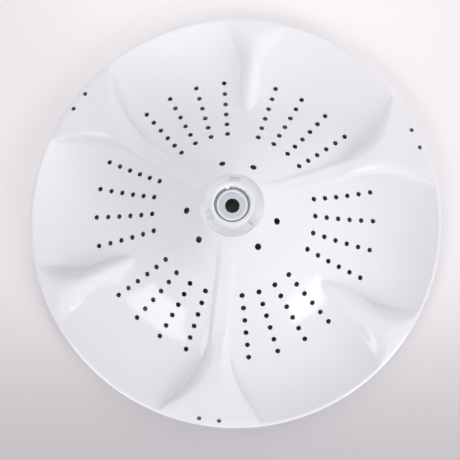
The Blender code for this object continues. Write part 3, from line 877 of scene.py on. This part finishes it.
insert.data.materials.clear()
insert.data.materials.append(steel)
bpy.context.view_layer.objects.active = insert
insert.select_set(True)
bpy.ops.object.shade_smooth_by_angle(angle=SMOOTH_UP_TO)
insert.select_set(False)
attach(insert, "root")
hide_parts("drive_insert")


# The ground. Pale matt paper with a faint pink cast, which the disc lies on. A painted shade
# makes it darker to the front, and far away it passes into the pale backdrop.
GROUND_COLOUR = (0.90, 0.855, 0.87, 1.0)
GROUND_SHADE = (0.89, 0.845, 0.86, 1.0)
FRONT_PAINTED_SHADE = (0.53, 0.505, 0.53, 1.0)
FRONT_SHADE_SPAN = (-0.30, 0.03)
FRONT_SHADE_WAY = (0.392, 0.917, 0.0)
GROUND_SIZE = 6.0
GROUND_HEIGHT = -0.1 * MM
PAPER_ROUGHNESS = (0.8, 0.95)
PAPER_GRAIN_DEPTH = 0.05 * MM
BACKDROP_COLOUR = (0.93, 0.92, 0.93, 1.0)
BACKDROP_FROM = 0.35
BACKDROP_FULL = 1.1

bpy.ops.mesh.primitive_plane_add(size=GROUND_SIZE, location=(0.0, 0.0, GROUND_HEIGHT))
ground = bpy.context.object
ground.name = "ground"
paper, tree, shader, position = new_material("matt_paper")
marks = place_group(tree, finish, position, [("Grain Scale", 500.0), ("Wave Scale", 7.0),
                                             ("Rub Scale", 3.0)])
link = tree.links.new
# Painted shade: the paper is painted darker towards the front.
along = add_node(tree, "ShaderNodeVectorMath", operation="DOT_PRODUCT")
along.inputs[1].default_value = FRONT_SHADE_WAY
link(position, along.inputs[0])
outside_painted_shade = soft_mask(tree, along.outputs["Value"], *FRONT_SHADE_SPAN)
paper_colour = mix_colour(tree, marks.outputs["Waves"], GROUND_SHADE, GROUND_COLOUR)
link(mix_colour(tree, outside_painted_shade, FRONT_PAINTED_SHADE, paper_colour), shader.inputs["Base Color"])
link(map_value(tree, marks.outputs["Grain"], *PAPER_ROUGHNESS), shader.inputs["Roughness"])
link(bump(tree, marks.outputs["Grain"], PAPER_GRAIN_DEPTH, 0.3), shader.inputs["Normal"])


def seen_directly(tree):
    """A mask for what the camera sees, straight on or through gloss or glass."""
    rays = tree.nodes.new("ShaderNodeLightPath")
    seen = rays.outputs["Is Camera Ray"]
    for kind in ("Is Glossy Ray", "Is Transmission Ray"):
        seen = combine(tree, "MAXIMUM", seen, rays.outputs[kind])
    return seen


far = soft_mask(tree, vector_length(tree, position), BACKDROP_FROM, BACKDROP_FULL)
backdrop = add_node(tree, "ShaderNodeEmission", [("Color", BACKDROP_COLOUR)])
either = tree.nodes.new("ShaderNodeMixShader")
link(combine(tree, "MULTIPLY", far, seen_directly(tree)), either.inputs[0])
link(shader.outputs["BSDF"], either.inputs[1])
link(backdrop.outputs["Emission"], either.inputs[2])
link(either.outputs["Shader"], tree.nodes["Material Output"].inputs["Surface"])
ground.data.materials.append(paper)


# The camera looks down on the disc from about 0.45 m, a little to one side.
CAMERA_PLACE = (-12.6207 * MM, -45.5067 * MM, 448.5775 * MM)
CAMERA_TURN = (math.radians(4.3907), math.radians(1.3250), math.radians(-23.0684))
SENSOR_WIDTH = 36.0
FOCAL_LENGTH = 33.964
bpy.ops.object.camera_add(location=CAMERA_PLACE, rotation=CAMERA_TURN)
camera = bpy.context.object
camera.data.sensor_width = SENSOR_WIDTH
camera.data.lens = FOCAL_LENGTH
bpy.context.scene.camera = camera


# The light. A white room all round, two soft boxes whose reflections lie on the face, and broad
# lamps with no reflection of their own that shape the fins, the strongest low on the right. Each
# has its direction in degrees, its distance and size in metres and its power in watts.
def area_lamp(name, azimuth, elevation, distance, width, height, power, reflected=False):
    """A rectangular lamp that faces the disc, placed as the picture shows it."""
    turn = math.radians(azimuth) + camera.rotation_euler.z
    lift = math.radians(elevation)
    place = (distance * math.cos(lift) * math.cos(turn),
             distance * math.cos(lift) * math.sin(turn), distance * math.sin(lift))
    bpy.ops.object.light_add(type="AREA", location=place,
                             rotation=(0.5 * math.pi - lift, 0.0, turn + 0.5 * math.pi))
    lamp = bpy.context.object
    lamp.name = name
    lamp.visible_glossy = reflected
    lamp.data.shape = "RECTANGLE"
    lamp.data.size = width
    lamp.data.size_y = height
    lamp.data.energy = power


area_lamp("soft_box_left", -133.0, 37.0, 1.2, 0.5, 0.55, 2.6, True)
area_lamp("soft_box_right", -44.0, 31.0, 1.2, 0.5, 0.4, 2.2, True)
area_lamp("key", -44.0, 18.0, 1.3, 0.4, 0.4, 4.8)
area_lamp("front_left", -133.0, 37.0, 1.3, 0.5, 0.5, 2.1)
area_lamp("left", 180.0, 30.0, 1.3, 0.8, 0.8, 1.3)
area_lamp("right", 20.0, 12.0, 1.3, 1.2, 0.4, 5.6)
area_lamp("back", 90.0, 50.0, 0.6, 0.5, 0.5, 1.7)
area_lamp("front", -95.0, 22.0, 1.3, 0.8, 0.4, 2.6)

# The room is dimmer than its reflection, so that the lamps shape the fins and the metal is bright.
ROOM_COLOUR = (0.98, 0.98, 1.0, 1.0)
ROOM_LIGHT = 0.26
ROOM_REFLECTION = 0.95
world = bpy.data.worlds.new("white_room")
bpy.context.scene.world = world
world.use_nodes = True
tree = world.node_tree
background = tree.nodes["Background"]
background.inputs["Color"].default_value = ROOM_COLOUR
level = map_value(tree, seen_directly(tree), ROOM_LIGHT, ROOM_REFLECTION)
tree.links.new(level, background.inputs["Strength"])
bpy.context.scene.view_settings.view_transform = "Standard"
